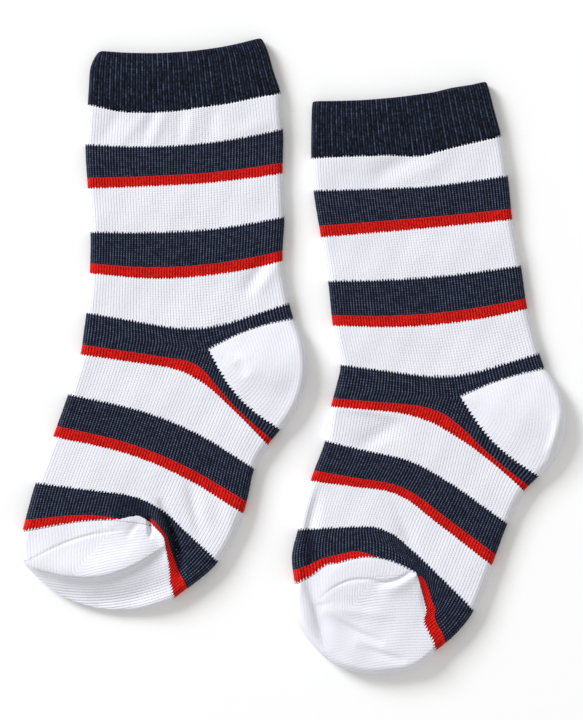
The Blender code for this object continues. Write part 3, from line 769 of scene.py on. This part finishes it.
# Painted light and shade along the foot's folds: stitches show more plainly on ridges, painted light,
# and less plainly in troughs, painted shade.
FOOT_PAINTED_LIGHT_AND_SHADE = {
    "left": (
        Fold("sole ridge", (-58.0, -53.0), (-47.0, -78.0), 0.5, 1.8, 2.4, 1.6),
        Fold("sole valley", (-52.5, -53.0), (-43.0, -86.0), -0.95, 1.7, 1.4, 1.6),
    ),
    "right": (
        Fold("instep trough", (7.5, -62.0), (5.5, -92.0), -0.9, 1.9, 1.9, -0.6),
        Fold("sole kink", (46.5, -80.0), (57.0, -108.0), -0.7, 1.8, 1.8, -1.0),
    ),
}
SOFTER = 0.55         # how much softer the stitches get towards the toe
SOFT_ROWS = 8         # and over how many courses
FEET = {
    "left": (
        Section(129.5, (-79.7, 9.5), (-32.5, 1.5), (-5.4, -28.7), 0.0, 5.2, back_bow=-3.6),
        Section(142, (-81.2, -0.1), (-38.6, -6.3), (-10.1, -34.6), 0.15, 5.2, 0.0, -0.6, 0.535),
        Section(161, (-85.9, -15.3), (-45.6, -24.0), (-15.1, -43.5), 0.30, 5.2, corner_at=0.53),
        Section(181, (-91.6, -31.2), (-52.8, -39.3), (-19.3, -60.4), 0.30, 5.3, corner_at=0.51),
        Section(200, (-98.2, -48.9), (-55.1, -54.0), (-29.0, -78.8), 0.15, 5.7, -0.2, corner_at=0.55),
        Section(220, (-103.2, -67.1), (-54.6, -64.4), (-45.9, -92.8), 0.0, 6.4, 2.7, 2.8),
    ),
    "right": (
        Section(129.5, (16.0, -11.8), (62.9, -16.3), (92.5, -46.4), 0.0, 5.2, back_bow=-3.2),
        Section(142, (13.9, -19.8), (54.0, -23.3), (86.8, -52.4), 0.25, 5.2, 0.0, -0.6, 0.50),
        Section(161, (11.6, -32.9), (50.6, -42.7), (80.9, -64.4), 0.25, 5.2, corner_at=0.51),
        Section(181, (6.1, -48.0), (39.2, -52.4), (75.0, -80.1), 0.12, 5.3, corner_at=0.44),
        Section(200, (1.3, -66.7), (35.0, -65.4), (68.0, -97.3), 0.10, 5.8, 0.4, 0.4, corner_at=0.45),
        Section(210, (-0.9, -76.4), (44.6, -74.2), (61.6, -105.6), 0.15, 6.2, 4.0, corner_at=0.55),
        Section(220, (0.2, -87.0), (46.6, -83.0), (53.3, -112.7), 0.0, 6.6, 7.9),
    ),
}


EVEN_WHITE = 0.3      # the valleys' share of the shade where no stitches show


# White, with painted shade in the valleys between wales and between stitches; stitches also differ at
# random.
def white_of(knit):
    share = knit.crest.ramp(0.5, 0.0) * knit.course.wave().at_least(0.75) + 0.15 * knit.luck
    return ((share - EVEN_WHITE) * knit.clear + EVEN_WHITE).blend(WHITE_CREST, WHITE_VALLEY_SHADE)


def navy_of(knit):
    share = knit.crest.ramp(0.6, 0.1) * knit.course.wave().at_least(0.2)
    share = share * knit.luck.at_least(0.25) * knit.blotch.at_least(0.75) * knit.clear
    return share.blend(knit.speck.blend(NAVY_DEEP, NAVY_CREST), NAVY_VALLEY)


# Red, with painted shade in the valleys between wales, and stitches that differ at random.
def red_of(knit):
    share = knit.crest.ramp(0.7, 0.1) * (0.5 + 0.65 * knit.luck)
    return share.blend(knit.speck.blend(RED_DEEP, RED_CREST), RED_VALLEY_SHADE)


def striped(knit):
    """White, navy and red in turn, each stitch in one yarn, so that a stripe starts in teeth."""
    tip = tip_of(knit)
    row = knit.course - (CUFF_END - STRIPE_REPEAT)

    def along(teeth):
        """Courses into the repeat of stripes, with teeth of a share of their full length."""
        return ((row + tip * teeth) * (1 / STRIPE_REPEAT)).math("FRACT") * STRIPE_REPEAT

    white = white_of(knit)
    bands = along(1.0).above(NAVY_FROM).blend(white, navy_of(knit))
    bands = along(0.3).above(RED_FROM).blend(bands, red_of(knit))
    bands = along(0.6).above(1.5).blend(white, bands)
    bands = leg_starts(knit, knit.course - CUFF_END).blend(CUFF_CREST, bands)
    return (knit.join + tip).above(0).blend(bands, white)


def jersey_height(knit):
    """Two legs of yarn to a stitch, leaning together like the sides of a V."""
    return (knit.course - knit.crest * LEAN).wave() * 0.4 + knit.crest.ramp(0.0, 0.5) * 0.8


jersey_yarn = yarn_material("striped_jersey", striped, jersey_height, 0.12)


def strayed(stray, course, wale):
    """By how many rows a stray runs ahead at a place."""
    grown = smooth_step(course, stray.first, stray.most) - smooth_step(course, stray.most, stray.last)
    return stray.rows * grown * np.exp(-(((wale - stray.wale) / stray.spread) ** 2))


def foot_stitches(course, wale):
    """Plain knitting that gets as soft as the toe's where it meets the toe."""
    return stitches(course, wale) * (1 - SOFTER * smooth_step(course, TOE_AT - SOFT_ROWS, TOE_AT))


def make_leg(side):
    cloth = Cloth()
    leg_rows = np.arange(CUFF_END + 0.5, HEEL_AT + 0.25, 0.5)
    leg_rows[0] = CUFF_END + KNIT_GAP
    foot_rows = np.arange(HEEL_AT, TOE_AT - 0.25, 0.5)
    foot_rows[-1] = TOE_AT - KNIT_GAP

    def leg_seen(course, wale, place):
        at_heel = (wale >= GORE_WALE) & (wale <= ROUND_WALES - GORE_WALE)
        return course, np.where(at_heel, course - HEEL_AT, FAR), 1.0

    def foot_seen(course, wale, place):
        tuck = TUCKS[side]
        under = smooth_step(wale, tuck.start, tuck.full) * (1 - smooth_step(wale, tuck.out, tuck.stop))
        shown = course - TUCKED * under * smooth_step(course, TUCK_AT, TOE_AT)
        for stray in STRAYS[side]:
            shown = shown + strayed(stray, course, wale) * (1 - under)
        # The ear's edge has no teeth, and stitches show less along it.
        ear = sum(strayed(e, course, wale) for e in EARS[side]) * (wale <= GORE_WALE)
        toothless = TOOTH * 0.9 * crest_of(wale) * np.minimum(ear / 2, 1)
        # Painted light on the foot's fold ridges and painted shade in its troughs, by how plainly
        # stitches show.
        clear = 1 + lifted(FOOT_PAINTED_LIGHT_AND_SHADE[side], place) - 0.6 * np.minimum(ear, 1)
        return shown, course - TOE_AT + ear - toothless, clear

    leg_tube, foot_tube = tube(side, LEGS[side]), tube(side, FEET[side])
    leg, leg_inside = knit_round(cloth, leg_tube, leg_rows, stitches, JERSEY, leg_seen)
    foot, foot_inside = knit_round(cloth, foot_tube, foot_rows, foot_stitches, JERSEY, foot_seen)
    each = cloth.COLUMNS_EACH
    gore = 2 * (GORE_WALE - FINE_WALES[0])
    below = gore + 4 * (FACE_WALES - GORE_WALE)   # where the gore's wale comes round again below
    slit = slice(gore, below + 1), slice(gore // each, below // each + 1)
    cloth.edge(leg[0], leg_inside[0], each)
    cloth.edge(leg[-1][slit[0]], leg_inside[-1][slit[1]], each, turned=True)
    cloth.edge(foot[0][slit[0]], foot_inside[0][slit[1]], each)
    cloth.edge(foot[-1], foot_inside[-1], each, turned=True)
    piece = cloth.finish(f"{side}_leg_and_foot", jersey_yarn, merge=0.1)
    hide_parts(f"{side}_leg")


for side in LEGS:
    make_leg(side)


# ---------------- heel pockets
# A heel is knitted to and fro on the back half of the needles in a second white yarn, first on fewer
# and fewer stitches and then on more again, so its wales turn the corner in arcs round the gore.
POCKET = 1.5          # wall of heel and toe
POCKET_CLEAR = 0.4    # stitches show less than on the leg, for the yarn is fluffier
GORE_START = 0.005    # where a pocket starts, as a share of the way from the gore to its rim
Heel = namedtuple("Heel", "bulge swell")   # beyond an even sweep, and above its edges
HEELS = {"left": Heel(0.8, 1.5), "right": Heel(3.1, 1.7)}
# Where a heel's stitches show less, about its gore.
HEEL_CLEARER = {
    "left": (Fold("gore", (-40.0, 5.0), (-10.0, -9.0), -0.25, 6.0, 6.0),),
    "right": (Fold("gore", (55.0, -12.5), (86.0, -28.0), -0.25, 6.0, 6.0),),
}
HEEL_FULL_AT = 0.7    # where the swell is full, as a share of the way to the rim
HEEL_TURN = 3.0       # how squarely wales turn the corner
HEEL_ROWS = 168       # rows of faces from lip to lip
HEEL_COLUMNS = (96, 40)  # columns of them over the top and along the table


def polar(centre, place):
    """Turn (anticlockwise from +X) and distance of places from a centre."""
    offset = place - np.array(centre)
    return np.arctan2(offset[..., 1], offset[..., 0]), np.hypot(offset[..., 0], offset[..., 1])


def fan(side, gore, first_lip, last_lip, reach, out, height):
    """The outside of a pocket: a fan from the gore between two lips.

    It is a function of the swing from the first lip (0) to the last (1), and of the way from the
    gore (0) over the top to the rim (1) and back along the table to the gore (2).
    """

    def place_at(swing, way):
        on_top = way <= 1
        length = np.where(on_top, way, 2 - way)
        wide = reach(swing)
        distance, rise, whole = over_layer(1 - length, wide, on_top)
        share = (wide - distance) / wide
        start, far = polar(gore, first_lip(share))
        stop, farther = polar(gore, last_lip(share))
        stop = start - (start - stop) % (2 * math.pi)
        turn = start + (stop - start) * swing
        reached = out(far, farther, swing, share)
        place = gore + np.stack([np.cos(turn), np.sin(turn)], -1) * reached[..., None]
        return place, rise, on_top, length * whole, turn - start, stop - start, share

    def surface(swing, way):
        place, rise, on_top, _, _, _, share = place_at(swing, way)
        return levels(side, place, height(swing, share), rise, on_top)

    def knit(swing, way, pitches, squareness, grains=()):
        """Wale, course and courses still to come: wales leave both lips squarely."""
        place, _, on_top, length, turn, whole, _ = place_at(swing, way)
        turn, whole = np.abs(turn), np.abs(whole)
        first = np.maximum(length * np.cos(turn), 0) / pitches[0]
        last = np.maximum(length * np.cos(whole - turn), 0) / pitches[1]
        for edge, along, left_out in grains:
            leftwards, taper = beside(edge, place)
            below = on_top & (leftwards < 0) & (taper > 0)
            first = np.where(below, np.maximum(-beside(along, place)[0] / pitches[0], 0), first)
            last = np.where(below, np.maximum(last - left_out, 0), last)
        wale = (first**squareness + last**squareness) ** (1 / squareness)
        half = whole / 2
        risen = np.where(turn < half, np.tan(turn), 2 * np.tan(half) - np.tan(whole - turn))
        rows = wale * np.mean(pitches) / COURSE
        return wale, rows * risen, rows * (2 * np.tan(half) - risen)

    return surface, knit


def make_pocket(
    name, surface, knit, pitches, squareness, rows, columns, joined=0.0, grains=(), clearer=()
):
    """Adds a pocket's cloth, whose stitches turn round the gore.

    joined is 1 if the next piece's yarn reaches in at the last lip. clearer lists, like folds, where
    stitches show more (or less) plainly.
    """
    cloth = Cloth()
    each, down = cloth.COLUMNS_EACH, cloth.ROWS_EACH
    top, floor = columns
    over = np.linspace(GORE_START, 1, top + 1)
    back = np.linspace(1, 2 - GORE_START, floor + 1)
    swing = np.linspace(0, 1, rows + 1)[:, None]
    swing, way = np.broadcast_arrays(swing, np.r_[over, back[1:]][None, :])
    wale, course, to_come = knit(swing, way, pitches, squareness, grains)
    clear = POCKET_CLEAR + lifted(clearer, surface(swing, way)[..., :2])
    points = moved_in(surface, swing, way, clear * stitches(course, wale))
    outer = cloth.grid(points, wale, course, np.where(joined, -to_come, FAR), clear)
    cloth.outside(outer, top + 2 * each, closed=False)
    inner_points = moved_in(surface, swing[::down, ::each], way[::down, ::each], POCKET)
    inner = cloth.grid(inner_points, wale[::down, ::each], course[::down, ::each])
    cloth.quads(inner, turned=True)
    cloth.edge(outer[0], inner[0], each)
    cloth.edge(outer[-1], inner[-1], each, turned=True)
    cloth.edge(outer[:, 0], inner[:, 0], down, turned=True)
    cloth.edge(outer[::2, -1], inner[:, -1], down // 2)
    return cloth.finish(name, pocket_yarn)


def pocket_colour(knit):
    """White, with the tips of the foot's first navy row at the heel's lower lip."""
    return (knit.join + tip_of(knit)).above(0).blend(white_of(knit), NAVY_CREST)


pocket_yarn = yarn_material("white_jersey", pocket_colour, jersey_height, 0.14)


def whole_section(sections, index):
    """One row of a table, as arrays."""
    return Section(*(np.array(value, float) for value in sections[index]))


def back_lip(section):
    """The lip along a row's back half, as a function of the share of the way from the gore."""
    return lambda share: row_place(section, GORE + (1 - GORE) * share)


def pitch_at(lip, reach, wales):
    """How wide apart a pocket's wales leave a lip (0 or 1)."""
    return over_edge(np.zeros(1), reach(lip), *TOP_EDGE)[2] / wales


def make_heel(side):
    heel = HEELS[side]
    upper, lower = whole_section(LEGS[side], -1), whole_section(FEET[side], 0)
    gore = upper.corner

    def reach(swing):
        ends = [math.dist(gore, section.back) for section in (upper, lower)]
        return ends[0] + (ends[1] - ends[0]) * swing + heel.bulge * np.sin(math.pi * swing)

    def out(far, farther, swing, share):
        return far + (farther - far) * swing + heel.bulge * np.sin(math.pi * swing) * share**2

    def height(swing, share):
        swell = heel.swell * np.sin(math.pi * swing)
        spread = np.sin(0.5 * math.pi * np.minimum(share / HEEL_FULL_AT, 1))
        return upper.height + (lower.height - upper.height) * swing + swell * spread

    surface, knit = fan(side, gore, back_lip(upper), back_lip(lower), reach, out, height)
    pitches = [pitch_at(lip, reach, FACE_WALES - GORE_WALE) for lip in (0.0, 1.0)]
    piece = make_pocket(
        f"{side}_heel_pocket", surface, knit, pitches, HEEL_TURN, HEEL_ROWS, HEEL_COLUMNS,
        joined=1.0, clearer=HEEL_CLEARER[side],
    )
    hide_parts(f"{side}_heel")


for side in LEGS:
    make_heel(side)


# ---------------- toe pockets
# A toe is knitted to and fro like a heel, in the same yarn, and linked to the instep along a seam.
# The left one is pushed in so that its upper part folds over as an ear; the right one is puffed up.
ToeRim = namedtuple("ToeRim", "turn reach")   # share of the sweep, and the rim's distance there
TOES = {
    "left": (
        ToeRim(0.00, 48.6), ToeRim(0.11, 50.3), ToeRim(0.21, 47.3), ToeRim(0.34, 43.1),
        ToeRim(0.50, 38.0), ToeRim(0.68, 33.6), ToeRim(0.86, 31.0), ToeRim(1.00, 29.7),
    ),
    "right": (
        ToeRim(0.00, 46.6), ToeRim(0.15, 48.9), ToeRim(0.30, 47.9), ToeRim(0.43, 46.6),
        ToeRim(0.54, 44.0), ToeRim(0.71, 39.1), ToeRim(0.86, 35.5), ToeRim(1.00, 30.5),
    ),
}
TOE_SWELL = {"left": 0.6, "right": 0.7}
# A toe's wales come in from both lips and turn on a line between. Below an edge, which is a seam or a
# fold, the ones from the back lip run along another line, and turn up after some that don't come in.
Grain = namedtuple("Grain", "edge along left_out")
GRAINS = {
    "left": (
        Grain(
            Fold("seam", (-104.5, -79.4), (-52.0, -61.2), bow=2.4),
            Fold("seam", (-104.5, -78.2), (-52.0, -65.0), bow=2.4), 12,
        ),
        Grain(
            Fold("tuck", (-109.0, -77.0), (-42.0, -67.0), bow=-11.9),
            Fold("hollow", (-101.5, -76.0), (-46.0, -72.0), bow=-4.5), 99,
        ),
    ),
    "right": (
        Grain(
            Fold("seam", (6.5, -93.6), (48.0, -82.0), bow=3.2),
            Fold("seam", (6.5, -89.0), (52.0, -82.4), bow=2.4), 10,
        ),
    ),
}
CLEARER = {
    "left": (Fold("hollow", (-108.0, -80.0), (-40.0, -84.0), 0.6, 3.5, 9.0, -10.0),),
    "right": (
        Fold("upper wales", (8.0, -91.0), (32.0, -91.0), 0.25, 4.0, 5.0),
        Fold("side and tip", (5.0, -78.0), (32.0, -118.0), -0.3, 9.0, 8.0, -6.0),
    ),
}
TOE_TURN = 12.0
TOE_ROWS = 288
TOE_COLUMNS = (144, 48)


def make_toe(side):
    end = whole_section(FEET[side], -1)
    gore = end.corner
    turns = [rim.turn for rim in TOES[side]]
    reaches = [rim.reach for rim in TOES[side]]
    ends = [math.dist(gore, place) for place in (end.back, end.front)]

    def reach(swing):
        return smooth_through(turns, reaches, 1 - np.asarray(swing, float))

    def out(far, farther, swing, share):
        even = ends[0] + (ends[1] - ends[0]) * swing
        return (far + (farther - far) * swing) * (1 + (reach(swing) / even - 1) * share)

    def height(swing, share):
        return end.height + TOE_SWELL[side] * np.sin(math.pi * swing)

    def front_lip(share):
        return row_place(end, GORE * (1 - share))

    surface, knit = fan(side, gore, back_lip(end), front_lip, reach, out, height)
    pitches = pitch_at(0.0, reach, FACE_WALES - GORE_WALE), pitch_at(1.0, reach, GORE_WALE)
    piece = make_pocket(
        f"{side}_toe_pocket", surface, knit, pitches, TOE_TURN, TOE_ROWS, TOE_COLUMNS,
        grains=GRAINS[side], clearer=CLEARER[side],
    )
    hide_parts(f"{side}_toe")


for side in LEGS:
    make_toe(side)
